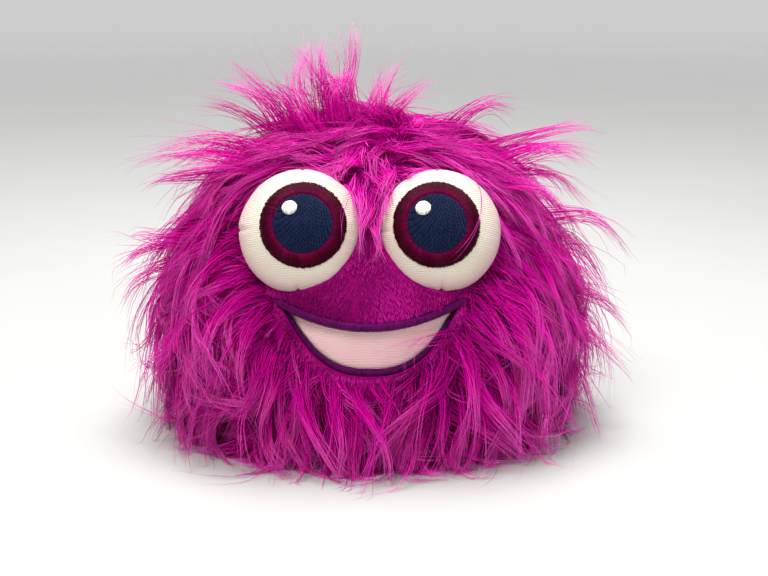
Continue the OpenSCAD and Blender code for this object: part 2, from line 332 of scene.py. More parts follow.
def shaderGroup(name, inputs, outputs):
    tree = bpy.data.node_groups.new(name, "ShaderNodeTree")
    for label, kind in inputs:
        tree.interface.new_socket(label, in_out="INPUT", socket_type="NodeSocket" + kind)
    for label, kind in outputs:
        tree.interface.new_socket(label, in_out="OUTPUT", socket_type="NodeSocket" + kind)
    return tree, tree.nodes.new("NodeGroupInput").outputs, tree.nodes.new("NodeGroupOutput").inputs


def strandGroup():  # colour of a hair or thread from its root to its tip; the change along it is painted light and shade, the tint a random tone
    tree, given, out = shaderGroup(
        "strandColour", [("Root", "Color"), ("Middle", "Color"), ("Tip", "Color")], [("Color", "Color")],
    )
    along = put(tree, "Attribute", attribute_name="along").outputs["Fac"]
    tint = put(tree, "Attribute", attribute_name="tint").outputs["Fac"]
    # Root, Middle and Tip: painted shade and painted highlight along each strand, as each material's
    # comment says
    body = mixed(tree, ramped(tree, along, 0.0, 0.5), given["Root"], given["Middle"])
    towardsTip = ramped(tree, along, 0.45, 1.0)
    lightness = maths(tree, "MULTIPLY", towardsTip, maths(tree, "MULTIPLY_ADD", tint, 0.9))
    lit = mixed(tree, lightness, body, given["Tip"])
    shade = maths(tree, "MULTIPLY_ADD", tint, 0.55)
    grey = put(tree, "CombineColor", {0: shade, 1: shade, 2: shade}).outputs[0]
    tree.links.new(mixed(tree, 1.0, lit, grey, blend_type="MULTIPLY"), out["Color"])
    return tree


def clothGroup():  # crossed yarns, with ribs along one way, and slow stains
    tree, given, out = shaderGroup(
        "clothYarn",
        [("Place", "Vector"), ("Pitch", "Float"), ("Rib", "Float"), ("Stain Size", "Float")],
        [("Yarn", "Float"), ("Stain", "Float")],
    )
    wander = put(tree, "TexNoise", {"Vector": given["Place"], "Scale": 220.0, "Detail": 2.0})
    axes = put(tree, "SeparateXYZ", {0: given["Place"]}).outputs
    across = maths(tree, "DIVIDE", axes["Z"], given["Pitch"])
    across = maths(tree, "ADD", across, wander.outputs["Fac"])
    down = maths(tree, "DIVIDE", maths(tree, "ADD", axes["X"], axes["Y"]), given["Pitch"])
    ribs = maths(tree, "SINE", maths(tree, "MULTIPLY", across, math.tau))
    yarns = maths(tree, "SINE", maths(tree, "MULTIPLY", down, math.tau))
    plain = maths(tree, "MULTIPLY", ribs, yarns)
    mix = put(tree, "Mix", {0: given["Rib"], 2: plain, 3: ribs}, data_type="FLOAT")
    tree.links.new(ramped(tree, mix.outputs[0], -1.0, 1.0), out["Yarn"])
    stain = put(tree, "TexNoise", {"Vector": given["Place"], "Scale": given["Stain Size"], "Detail": 4.0})
    tree.links.new(stain.outputs["Fac"], out["Stain"])
    return tree


def newMaterial(name, colour, rough, shine=0.5, tint=(1, 1, 1), sheen=0.0):
    material = bpy.data.materials.new(name)
    material.use_nodes = True
    material.diffuse_color = (*colour, 1)
    shader = material.node_tree.nodes["Principled BSDF"]
    constants = {
        "Base Color": (*colour, 1), "Roughness": rough, "Specular IOR Level": shine,
        "Specular Tint": (*tint, 1), "Sheen Weight": sheen,
    }
    for label, value in constants.items():
        shader.inputs[label].default_value = value
    return material, material.node_tree, shader


def strandMaterial(name, root, middle, tip, **gloss):
    material, tree, shader = newMaterial(name, middle, **gloss)
    colours = {"Root": (*root, 1), "Middle": (*middle, 1), "Tip": (*tip, 1)}
    group = put(tree, "Group", colours, node_tree=strandColour)
    tree.links.new(group.outputs["Color"], shader.inputs["Base Color"])
    return material


def clothMaterial(name, light, dark, pitch, rib, bump, rim=None, stainSize=30, **gloss):
    material, tree, shader = newMaterial(name, light, **gloss)
    place = put(tree, "TexCoord").outputs["Object"]
    yarns = {"Place": place, "Pitch": pitch, "Rib": rib, "Stain Size": stainSize}
    group = put(tree, "Group", yarns, node_tree=clothYarn)
    colour = mixed(tree, ramped(tree, group.outputs["Stain"], 0.35, 0.7), light, dark)
    # the rim colour is laid where the rim attribute is high: painted reflection and shade on the eye cover,
    # pinker sewn edges on the teeth
    if rim:
        edge = put(tree, "Attribute", attribute_name="rim").outputs["Fac"]
        colour = mixed(tree, edge, colour, rim)
    # painted shade: the colour darkens in the low places between the yarns
    yarnGapShade = maths(tree, "MULTIPLY", maths(tree, "SUBTRACT", 1.0, group.outputs["Yarn"]), 0.22)
    colour = mixed(tree, yarnGapShade, colour, tuple(c * 0.45 for c in dark))
    tree.links.new(colour, shader.inputs["Base Color"])
    relief = put(tree, "Bump", {"Height": group.outputs["Yarn"], "Strength": bump, "Distance": 0.25 * mm})
    tree.links.new(relief.outputs["Normal"], shader.inputs["Normal"])
    return material


def floorMaterial():  # paler towards the wall, where less light falls
    material, tree, shader = newMaterial("floorPaint", (0.45, 0.45, 0.44), 0.75)
    place = put(tree, "TexCoord").outputs["Object"]
    grain = put(tree, "TexNoise", {"Vector": place, "Scale": 6.0, "Detail": 5.0}).outputs["Fac"]
    near = mixed(tree, grain, (0.43, 0.43, 0.42), (0.47, 0.47, 0.46))
    distance = put(tree, "VectorMath", {0: place}, operation="LENGTH").outputs["Value"]
    far = ramped(tree, distance, 0.5, 3.4, interpolation_type="SMOOTHSTEP")
    colour = mixed(tree, far, near, (0.92, 0.92, 0.91))
    tree.links.new(colour, shader.inputs["Base Color"])
    return material


strandColour = strandGroup()
clothYarn = clothGroup()
materials = {
    # the pile's dark roots are painted shade deep in the pile, its light tips painted highlight and glow on
    # the clumps' surfaces
    "pile": strandMaterial(
        "magentaPile", (0.40, 0.0, 0.19), (0.78, 0.004, 0.40), (1.0, 0.14, 0.65),
        rough=0.5, shine=0.06, tint=(1, 0.2, 0.7),
    ),
    # the nap's lighter tips are painted highlight on the plush, its darker roots painted shade
    "nap": strandMaterial(
        "magentaNap", (0.30, 0.0, 0.14), (0.46, 0.003, 0.22), (0.74, 0.02, 0.42),
        rough=0.7, shine=0.12, tint=(1, 0.3, 0.75),
    ),
    # real backing cloth, coloured darker than the pile as painted shade where it shows between the locks
    "skin": clothMaterial(
        "pileBacking", (0.34, 0.0, 0.17), (0.26, 0.0, 0.13), 1.2 * mm, 0.2, 0.5,
        rough=0.9, shine=0.05, tint=(1, 0.3, 0.75),
    ),
    # the rim colour is painted pink reflection of the pile and painted shade near the eye's rim
    "eyeCloth": clothMaterial(
        "eyeTwill", (0.73, 0.675, 0.555), (0.68, 0.61, 0.51), 0.85 * mm, 0.85, 0.8,
        rim=(0.60, 0.32, 0.38), rough=0.85, shine=0.12,
    ),
    "teethCloth": clothMaterial(
        "teethTwill", (0.88, 0.585, 0.59), (0.80, 0.48, 0.505), 0.8 * mm, 0.7, 0.9,
        rim=(0.60, 0.24, 0.33), rough=0.8, shine=0.2, sheen=0.08,
    ),
    # the lighter root colour is a painted highlight at the iris's inner edge, where each stitch starts
    "iris": strandMaterial(
        "wineThread", (0.15, 0.0, 0.045), (0.06, 0.0, 0.011), (0.038, 0.0, 0.007),
        rough=0.5, shine=0.14, tint=(1, 0.25, 0.5),
    ),
    # lighter middles are painted highlight on the stitches' crowns, darker ends painted shade where they go
    # into the cloth
    "pupil": strandMaterial(
        "navyThread", (0.005, 0.009, 0.036), (0.011, 0.019, 0.064), (0.005, 0.009, 0.036),
        rough=0.5, shine=0.2, tint=(0.4, 0.55, 1),
    ),
    # white thread; the lighter middles are painted highlight on the stitches' crowns, the duller ends
    # painted shade where they go into the cloth
    "glint": strandMaterial(
        "whiteThread", (0.8, 0.79, 0.74), (0.95, 0.94, 0.9), (0.85, 0.84, 0.8),
        rough=0.4, shine=0.5,
    ),
    # lighter middles are painted highlight on the cord's crest, darker ends painted shade where the
    # stitches go into the cloth
    "lip": strandMaterial(
        "plumThread", (0.075, 0.0, 0.06), (0.13, 0.001, 0.105), (0.08, 0.0, 0.065),
        rough=0.45, shine=0.25, tint=(1, 0.35, 1),
    ),
    "glove": clothMaterial(
        "gloveTricot", (0.30, 0.022, 0.21), (0.22, 0.014, 0.16), 0.9 * mm, 0.6, 0.7,
        rough=0.6, shine=0.25, sheen=0.15,
    ),
    "lining": clothMaterial(
        "mouthLining", (0.03, 0.003, 0.05), (0.02, 0.002, 0.035), 0.7 * mm, 0.1, 0.6,
        rough=0.8, shine=0.12, sheen=0.05,
    ),
    "wadding": clothMaterial(
        "wadding", (0.86, 0.86, 0.85), (0.74, 0.74, 0.74), 2.5 * mm, 0.3, 1.0,
        stainSize=90, rough=0.95, shine=0.1,
    ),
    "board": clothMaterial(
        "fibreBoard", (0.62, 0.60, 0.55), (0.50, 0.48, 0.43), 1.5 * mm, 0.2, 0.2,
        stainSize=140, rough=0.7, shine=0.3,
    ),
    "tape": clothMaterial(
        "webbingTape", (0.025, 0.025, 0.028), (0.015, 0.015, 0.017), 1.1 * mm, 0.5, 0.8,
        rough=0.55, shine=0.4,
    ),
    "label": clothMaterial(
        "labelSatin", (0.86, 0.86, 0.84), (0.80, 0.80, 0.78), 0.4 * mm, 1.0, 0.25,
        rough=0.35, shine=0.5, sheen=0.1,
    ),
}


# Pile
# Each layer has its own locks. A lock's hairs start spread over its root and draw together.
pileLayers = [
    {   # short fill
        "spacing": 6.4 * mm, "hairs": 8, "steps": 5, "width": 0.36 * mm, "lockR": 4.6 * mm,
        "lengths": (26 * mm, 48 * mm), "fullness": (0.15, 0.6), "lift": (0.5, 1.2),
        "wave": 2 * mm, "frizz": 3 * mm, "clump": 0.4, "edge": None,
    },
    {   # long locks
        "spacing": 8.4 * mm, "hairs": 21, "steps": 7, "width": 0.30 * mm, "lockR": 7 * mm,
        "lengths": (50 * mm, 90 * mm), "fullness": (0.45, 1.12), "lift": (0.5, 1.5),
        "wave": 5 * mm, "frizz": 3 * mm, "clump": 0.93, "edge": None,
    },
    {   # short row beside each bare place
        "spacing": 2.7 * mm, "hairs": 4, "steps": 6, "width": 0.3 * mm, "lockR": 1.6 * mm,
        "lengths": (16 * mm, 40 * mm), "fullness": (0.15, 0.6), "lift": (0.4, 1.0),
        "wave": 2 * mm, "frizz": 2 * mm, "clump": 0.6, "edge": 4.5 * mm,
    },
    {   # fly-away wisps
        "spacing": 14 * mm, "hairs": 5, "steps": 8, "width": 0.2 * mm, "lockR": 4 * mm,
        "lengths": (60 * mm, 98 * mm), "fullness": (1.05, 1.7), "lift": (1.2, 2.2),
        "wave": 8 * mm, "frizz": 8 * mm, "clump": 0.75, "edge": None,
    },
]
pile = {
    "seed": 11,
    "stray": 0.5,                 # how far each lock strays from the combed way
    "crest": (-16 * mm, -22 * mm, 155 * mm), "crestR": 34 * mm,  # where the locks stand up
    "crestLift": 1.6, "crestReach": 0.75,
    "browHalf": 22 * mm, "browLengths": (24 * mm, 46 * mm),  # short above the nose
    "swirl": 0.75, "swirlSize": 34 * mm, "droop": 0.25,
    "limit": (138 * mm, 138 * mm, 212 * mm),
}

# Ways that the pile is combed: place on the ball, then direction, in mm. Both sides are alike.
combedBothSides = [
    ((26, -50, 146), (0.95, -0.2, 0.1)), ((60, -45, 130), (0.95, -0.1, 0.05)),
    ((80, -35, 112), (0.95, -0.1, -0.2)), ((82, -48, 88), (0.9, -0.2, -0.35)),
    ((84, -45, 60), (0.8, -0.3, -0.5)), ((70, -60, 30), (0.6, -0.4, -0.7)),
    ((54, -78, 75), (0.75, -0.35, -0.55)), ((50, -78, 48), (0.5, -0.4, -0.8)),
    ((25, -92, 40), (0.15, -0.4, -0.9)), ((97, 0, 80), (0.4, 0.1, -0.85)),
    ((80, 40, 110), (0.6, 0.35, -0.6)), ((60, 60, 125), (0.4, 0.6, -0.5)),
    ((60, 75, 50), (0.3, 0.4, -0.9)), ((50, 20, 145), (0.9, 0.3, -0.1)),
]
combedInTheMiddle = [
    ((0, -95, 35), (0.05, -0.35, -0.95)), ((0, -70, 130), (0.05, -0.4, -0.85)),
    ((-8, -40, 150), (-0.3, -0.4, 0.1)), ((-5, 0, 159), (-0.2, 0.5, 0.3)),
    ((0, 35, 152), (0.05, 0.9, -0.1)), ((0, 70, 125), (0, 0.6, -0.8)),
    ((0, 95, 60), (0, 0.3, -1)),
]
mirrorX = np.array([-1, 1, 1])
combed = np.array(combedBothSides + combedInTheMiddle, float)
combed = np.concatenate([combed, np.array(combedBothSides) * mirrorX])
combPlaces = mm * combed[:, 0]
combWays = unit(combed[:, 1])


def combAt(at):
    gap = ((at[:, None] - combPlaces) ** 2).sum(-1)
    weight = 1 / (gap + (14 * mm) ** 2) ** 2
    return unit(weight @ combWays)


def swirlAt(at):
    return np.array([noise.noise_vector(Vector(p) / pile["swirlSize"]) for p in at])


def eyeMatrix(side):
    return (
        Matrix.Translation((side * eye["across"], -eye["forward"], eye["height"]))
        @ Matrix.Rotation(math.radians(side * eye["out"]), 4, "Z")
        @ Matrix.Rotation(math.radians(90 - eye["up"]), 4, "X")
    )


def intoEye(at, side):  # into the eye's own frame, and the distance from its middle line
    m = np.array(eyeMatrix(side))
    local = (at - m[:3, 3]) @ m[:3, :3]
    return local, np.hypot(local[:, 0], local[:, 1])


def outOfEye(local, side):
    m = np.array(eyeMatrix(side))
    return local @ m[:3, :3].T + m[:3, 3]


def eyeHeight(r):  # of the eye cover, at a distance from its middle
    dome = eye["apex"] - eye["domeR"] + np.sqrt(np.maximum(eye["domeR"] ** 2 - r ** 2, 0))
    rim = rimZ + np.sqrt(np.maximum(eye["rimR"] ** 2 - (r - rimX) ** 2, 0))
    return np.where(r < eye["domeR"] * math.sin(domeTurn), dome, rim)


def keepOffEyes(at, room):  # a little hair may hang over the top of the rim
    for side in (-1, 1):
        local, across = intoEye(at, side)
        over = local[:, 2] > eyeHeight(across) + 0.6 * mm
        lap = eye["lap"] * np.clip(local[:, 1] / (0.6 * eyeRimR), 0, 1) * over
        nearest = np.maximum(eyeRimR + room * ~over - lap, mm)
        inside = (across < nearest) & (local[:, 2] > eyeBackZ - 4 * mm)
        scale = np.where(inside, nearest / np.maximum(across, mm), 1)
        local[:, :2] *= scale[:, None]
        at = np.where(inside[:, None], outOfEye(local, side), at)
    return at


def pileReach(way):  # distance from the fold to the outside of the pile
    gap = np.array(fold - pileMiddle)
    b = way @ gap
    return -b + np.sqrt(b ** 2 - gap @ gap + pileR ** 2)


def keepInPile(at, fullness, share):
    out = at - foldPoint
    r = np.linalg.norm(out, axis=1)
    way = out / r[:, None]
    room = (pileReach(way) - skinR) * fullness * (0.35 + 0.65 * share)
    r = np.clip(r, skinR + 0.7 * mm, skinR + np.maximum(room, 1.5 * mm))
    return foldPoint + way * r[:, None]


def keepOffSleeve(at):
    x, z = at[:, 0], at[:, 2] - fold.z
    r, clear = np.hypot(x, z), cuffR + 1.5 * mm
    scale = np.where((at[:, 1] > 60 * mm) & (r < clear), clear / np.maximum(r, mm), 1)
    return np.stack([x * scale, at[:, 1], fold.z + z * scale], 1)


def inMouth(at, grow=0.0):  # the mouth and the face panel
    x, y, z = at.T
    window = (z > chinCurve(x) - 1.2 * mm - grow) & (z < 126 * mm)
    return (y < 0) & (np.abs(x) < 46 * mm + grow) & window


def crossesTeeth(hair):
    x, y, z = np.moveaxis(hair, -1, 0)
    over = (y < 0) & (np.abs(x) < smile["half"] - 5 * mm) & (z > chinCurve(x)) & (z < lipCurve(x))
    return over.any(1)


def isBare(at, grow=0.0):
    x, y, z = at.T
    bare = z < baseTop + 2 * mm
    bare |= (y > 0) & (np.hypot(x, z - fold.z) < cuffR + 1 * mm + grow)
    bare |= inMouth(at, grow)
    for side in (-1, 1):
        local, across = intoEye(at, side)
        bare |= (across < eyeRimR - 1 * mm + grow) & (local[:, 2] > -40 * mm)
    return bare


def lockRoots(layer, rng):
    count = int(4 * math.pi * skinR ** 2 / layer["spacing"] ** 2)
    i = np.arange(count) + 0.5
    height = 1 - 2 * i / count
    turn = i * math.pi * (3 - math.sqrt(5))
    ring = np.sqrt(1 - height ** 2)
    way = np.stack([ring * np.cos(turn), ring * np.sin(turn), height], 1)
    way = unit(way + rng.normal(0, 0.3 * layer["spacing"] / skinR, way.shape))
    at = foldPoint + way * skinR
    at = at[~isBare(at)]
    return at[isBare(at, layer["edge"])] if layer["edge"] else at


def growLocks(roots, layer, rng):
    steps, count = layer["steps"], len(roots)
    high = np.clip((roots[:, 2] - 110 * mm) / (45 * mm), 0, 1)
    lengths = rng.uniform(*layer["lengths"], count) * (1 - 0.25 * high)
    fullness = rng.uniform(*layer["fullness"], count)
    lift = rng.uniform(*layer["lift"], count)
    x, y, z = roots.T
    brow = (np.abs(x) < pile["browHalf"]) & (y < -45 * mm) & (z > 120 * mm)
    lengths = np.where(brow, np.minimum(lengths, rng.uniform(*pile["browLengths"], count)), lengths)
    crest = np.exp(-((roots - pile["crest"]) ** 2).sum(1) / pile["crestR"] ** 2)
    lift += pile["crestLift"] * crest * rng.uniform(0.2, 1, count)
    fullness *= 1 + pile["crestReach"] * crest * rng.uniform(0.2, 1, count)
    own = rng.normal(0, pile["stray"], roots.shape)
    at = roots.copy()
    path = [at]
    for k in range(1, steps):
        share = k / (steps - 1)
        out = outward(at)
        low = np.clip(1 - at[:, 2:] / (30 * mm), 0, 1)
        comb = combAt(at) + own * 0.6 + pile["swirl"] * swirlAt(at) * (0.4 + share) * (1 - 0.7 * low)
        comb = unit(comb - out * (comb * out).sum(1, keepdims=True))
        aside = unit(at * (1, 1, 0))
        heading = comb * (0.5 + 0.5 * share) + out * lift[:, None] * (1 - share) ** 1.3
        heading += np.array((0, 0, -pile["droop"])) * share + aside * low * 0.8
        ring = np.hypot(at[:, 0], at[:, 2] - fold.z)
        along = np.exp(-((ring - cuffR) / (20 * mm)) ** 2) * (at[:, 1] > 40 * mm)
        heading += np.array((0, 1.6, 0)) * along[:, None]  # back along the sleeve
        at = at + unit(heading) * lengths[:, None] / (steps - 1)
        at = keepInPile(at, fullness, share)
        at = keepOffEyes(at, 0.6 * mm)
        at = keepOffSleeve(at)
        path.append(at)
    path = np.stack(path, 1)
    share = np.linspace(0, 1, steps)[None, :, None]
    sideways = unit(np.cross(outward(roots), combAt(roots)))[:, None]
    phase = rng.uniform(0, math.tau, (count, 1, 1))
    turns = rng.uniform(0.5, 1.3, (count, 1, 1))
    sway = layer["wave"] * rng.uniform(0.3, 1.2, (count, 1, 1))
    path += sideways * sway * share ** 1.2 * (np.sin(phase + math.tau * turns * share) - np.sin(phase))
    return path


def fillLocks(locks, tints, layer, rng):
    count, steps = locks.shape[:2]
    share = np.linspace(0, 1, steps)
    guides = np.repeat(locks, layer["hairs"], 0)
    reach = rng.uniform(0.68, 1.04, len(guides))
    position = share * reach[:, None] * (steps - 1)
    low = np.minimum(position.astype(int), steps - 2)
    part = (position - low)[..., None]
    row = np.arange(len(guides))[:, None]
    hair = guides[row, low] * (1 - part) + guides[row, low + 1] * part
    root = guides[:, 0]
    out = outward(root)
    spread = rng.normal(0, 1, root.shape)
    spread -= out * (spread * out).sum(1, keepdims=True)
    spread = unit(spread) * layer["lockR"] * np.sqrt(rng.uniform(0, 1, (len(root), 1)))
    drawn = layer["clump"] * rng.uniform(0.75, 1.05, (len(root), 1, 1))
    hair = hair + spread[:, None] * (1 - drawn * share[None, :, None] ** 0.8)
    loose = rng.normal(0, 1, root.shape) * layer["frizz"] * rng.uniform(0.1, 1, (len(root), 1)) ** 2
    hair += loose[:, None] * (share ** 1.6)[None, :, None]
    tint = 0.6 * np.repeat(tints, layer["hairs"]) + 0.4 * rng.uniform(0, 1, len(root))
    return hair, tint


def settle(hair):  # clear of the eyes, the sleeve and the floor
    shape = hair.shape
    at = hair.reshape(-1, 3)
    out = at - foldPoint
    r = np.linalg.norm(out, axis=1, keepdims=True)
    at = foldPoint + out / r * np.maximum(r, skinR - 0.5 * mm)
    at = keepOffEyes(at, 0.2 * mm)
    at = keepOffSleeve(at)
    limit = np.array(pile["limit"])
    at = np.clip(at, (-limit[0], -limit[1], 0.6 * mm), limit)
    return at.reshape(shape)


def hairRadii(hair, width, rng):
    share = np.linspace(0, 1, hair.shape[1])
    taper = (1 - 0.9 * share ** 2.2)[None]
    return width * taper * rng.uniform(0.65, 1.15, (len(hair), 1))


def pileRegions(roots):
    x, y, z = roots.T
    chin = (y < 0) & (np.abs(x) < 44 * mm) & (z < 90 * mm)
    front, left, upper, lower = y < 6 * mm, x < 0, z > 96 * mm, z < 52 * mm
    for side, sided in (("left", left), ("right", ~left)):
        yield f"{side}BrowPile", front & sided & upper, f"front_{side}_fur"
        yield f"{side}CheekPile", front & sided & ~upper & ~lower & ~chin, f"front_{side}_fur"
        yield f"{side}JowlPile", front & sided & lower & ~chin, f"front_{side}_fur"
        yield f"{side}NapePile", ~front & sided & upper, f"back_{side}_fur"
        yield f"{side}BackPile", ~front & sided & ~upper, f"back_{side}_fur"
    yield "chinPile", chin, "chin_fur"


def makePile():
    rng = np.random.default_rng(pile["seed"])
    parts = {}
    for number, layer in enumerate(pileLayers):
        roots = lockRoots(layer, rng)
        locks = growLocks(roots, layer, rng)
        tints = rng.uniform(0, 1, len(roots))
        for name, chosen, node in pileRegions(roots):
            hair, tint = fillLocks(locks[chosen], tints[chosen], layer, rng)
            hair = settle(hair)
            kept = ~inMouth(hair[:, 0]) & ~crossesTeeth(hair)
            hair, tint = hair[kept], tint[kept]
            part = tubes(f"{name}{number}", hair, hairRadii(hair, layer["width"], rng), tint)
            parts.setdefault((name, node), []).append(part)
    for (name, node), pieces in parts.items():
        piece = finish(joined(name, pieces), "head", "pile", "fur", node)
        if name == "chinPile":
            squashed(piece)
        print("pile:", name, sum(len(p.vertices) - 2 for p in piece.data.polygons), "triangles")


def squashed(piece):  # the chin flattens on the table as the jaw sinks behind it; here the piece only gets its own copy of its mesh
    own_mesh(piece)


# Sprays of hair that stand out of the pile: root and tip, in mm
sprays = {
    "crownTuft": {
        "node": "crown_tuft", "locks": [
            ((-26, -20, 152), (-46, -12, 204)), ((-18, -10, 154), (-30, 2, 203)),
            ((-8, 0, 155), (-9, 10, 205)), ((-32, -26, 148), (-66, -24, 188)),
            ((2, 2, 156), (17, 12, 190)), ((-20, 6, 155), (-38, 22, 194)),
            ((-14, -26, 152), (-22, -22, 194)), ((-3, -14, 155), (3, -10, 190)),
            ((-30, -4, 151), (-54, 6, 186)), ((-34, -34, 144), (-60, -36, 176)),
            ((-24, -30, 149), (-42, -32, 186)), ((-8, 10, 156), (-14, 26, 188)),
            ((6, -8, 156), (26, -6, 182)), ((-36, -14, 150), (-76, -10, 180)),
            ((-12, -18, 153), (-14, -12, 200)), ((-22, 0, 155), (-24, 8, 196)),
        ],
    },
    "leftWisps": {
        "node": "front_left_fur", "locks": [
            ((-42, -28, 144), (-108, -22, 158)), ((-52, -32, 138), (-116, -30, 138)),
            ((-40, -16, 148), (-92, -8, 170)), ((-60, -26, 134), (-122, -18, 120)),
            ((-46, -40, 140), (-100, -52, 146)), ((-80, -36, 105), (-132, -34, 92)),
            ((-84, -30, 88), (-135, -24, 62)), ((-78, -50, 70), (-126, -58, 36)),
            ((-56, -12, 142), (-112, 0, 150)), ((-84, -10, 100), (-134, -2, 84)),
        ],
    },
    "rightWisps": {
        "node": "front_right_fur", "locks": [
            ((46, -22, 146), (122, -14, 152)), ((50, -28, 140), (114, -24, 136)),
            ((60, -26, 134), (126, -20, 116)), ((38, -10, 150), (84, 0, 168)),
            ((54, -40, 134), (106, -52, 126)), ((80, -34, 108), (134, -32, 100)),
            ((86, -28, 82), (135, -24, 56)), ((78, -46, 72), (130, -56, 42)),
            ((60, -10, 140), (116, 2, 142)), ((86, -8, 96), (135, 0, 78)),
        ],
    },
}
spray = {
    "jitter": 4 * mm, "bow": 0.55, "sway": 5 * mm,
    "hairs": 32, "steps": 8, "width": 0.2 * mm, "lockR": 8 * mm, "frizz": 9 * mm, "clump": 0.82,
}


def makeSprays():
    rng = np.random.default_rng(pile["seed"] + 1)
    share = np.linspace(0, 1, spray["steps"])[None, :, None]
    for name, group in sprays.items():
        ends = mm * np.array(group["locks"], float)
        ends += rng.normal(0, spray["jitter"], ends.shape)
        roots, tips = ends[:, 0], ends[:, 1]
        out = outward(roots)
        roots = foldPoint + out * skinR
        reach = np.linalg.norm(tips - roots, axis=1)[:, None]
        bow = (out * spray["bow"] + rng.normal(0, 0.12, out.shape)) * reach
        locks = roots[:, None] * (1 - share) + tips[:, None] * share
        locks += bow[:, None] * share * (1 - share)
        aside = rng.normal(0, spray["sway"], (len(roots), 1, 3))
        locks += aside * share * np.sin(1.6 * math.pi * share)
        hair, tint = fillLocks(locks, rng.uniform(0.4, 1, len(roots)), spray, rng)
        hair = settle(hair)
        piece = tubes(name, hair, hairRadii(hair, spray["width"], rng), tint)
        finish(piece, "head", "pile", "fur", group["node"])


# Single long hairs that have fallen across the eyes and the mouth: root, bend and tip, in mm
strays = {
    "steps": 14, "width": 0.15 * mm, "hairs": 2, "jitter": 0.9 * mm,
    "overEye": 1.9 * mm, "overMouth": 3.8 * mm,
    "eyes": {     # in each eye's own plane
        1: [((17, 28), (25, 4), (5, -16))],
        -1: [((25, 21), (19, 8), (22, -6))],
    },
    "mouth": [    # in the front view
        ((46, 69), (25, 71), (0, 62)), ((46, 67), (28, 66), (9, 64)), ((46, 66), (31, 63), (17, 66)),
        ((46, 70), (10, 73), (17, 49)), ((46, 69), (16, 72), (22, 50)),
    ],
}


def bentLines(lines, rng):
    ends = np.repeat(mm * np.array(lines, float), strays["hairs"], 0)
    ends += rng.normal(0, strays["jitter"], ends.shape)
    share = np.linspace(0, 1, strays["steps"])[None, :, None]
    root, bend, tip = ends[:, :1], ends[:, 1:2], ends[:, 2:]
    return root * (1 - share) ** 2 + 2 * bend * share * (1 - share) + tip * share ** 2


def makeStrays():
    rng = np.random.default_rng(80)
    paths = []
    for side, lines in strays["eyes"].items():
        flat = bentLines(lines, rng)
        r = np.linalg.norm(flat, axis=-1)
        local = np.concatenate([flat, (eyeHeight(r) + strays["overEye"])[..., None]], -1)
        paths.append(outOfEye(local, side))
    flat = bentLines(strays["mouth"], rng)
    paths.append(ballPoint(flat[..., 0], flat[..., 1], skinR + strays["overMouth"]))
    hair = np.concatenate(paths)
    piece = tubes("strayHairs", hair, hairRadii(hair, strays["width"], rng), rng.uniform(0.5, 1, len(hair)))
    finish(piece, "head", "pile", "fur")


# Cloth under the pile
backing = {
    "wall": 0.7 * mm, "jawHalf": 43.3 * mm, "jawTop": 84 * mm, "hem": 12 * mm,
    "hole": 45 * mm, "collar": 53 * mm, "play": 0.4 * mm,
}


def cloth(piece, thickness, offset, body="head", material="skin", slotName="fur"):
    return finish(solidified(piece, thickness, offset), body, material, slotName)


def panelOnBall(name, half, lower, upper, r, across, tall):  # cloth between two curves on the front
    def place(u, v):
        x = 2 * half * u
        foot, top = float(lower(x)), float(upper(x))
        return ballPoint(x, foot + (v + 0.5) * (top - foot), r)

    return panel(name, across, tall, place)


def makeBacking():  # the ball of cloth, open at the jaw, the base and the sleeve
    bm = bmesh.new()
    bmesh.ops.create_uvsphere(bm, u_segments=128, v_segments=80, radius=skinR + 0.3 * mm)
    bmesh.ops.translate(bm, verts=bm.verts, vec=fold)
    for place, way in (
        ((backing["jawHalf"], 0, 0), (1, 0, 0)), ((-backing["jawHalf"], 0, 0), (1, 0, 0)),
        ((0, 0, backing["jawTop"]), (0, 0, 1)), ((0, 0, baseTop), (0, 0, 1)),
    ):
        geometry = bm.verts[:] + bm.edges[:] + bm.faces[:]
        bmesh.ops.bisect_plane(bm, geom=geometry, dist=0.01 * mm, plane_co=place, plane_no=way)
    cut = []
    for face in bm.faces:
        x, y, z = face.calc_center_median()
        jaw = y < 0 and abs(x) < backing["jawHalf"] and z < backing["jawTop"]
        if jaw or z < baseTop or (y > 0 and math.hypot(x, z - fold.z) < backing["hole"]):
            cut.append(face)
    bmesh.ops.delete(bm, geom=cut, context="FACES")
    cloth(fromBmesh("pileBacking", bm), backing["wall"], 1)


def makeCollar():  # seam allowance round the sleeve
    r = skinR + 1.2 * mm
    section = []
    for i in range(10):
        ring = backing["collar"] + (sleeveR + 0.3 * mm - backing["collar"]) * i / 9
        section.append((ring, math.sqrt(r ** 2 - ring ** 2), fold.z))
    section.append((sleeveR + 0.4 * mm, section[-1][1] + 4 * mm, fold.z))
    cloth(spun("sleeveCollar", section, 120, (0, 1, 0), fold), 0.6 * mm, 0)


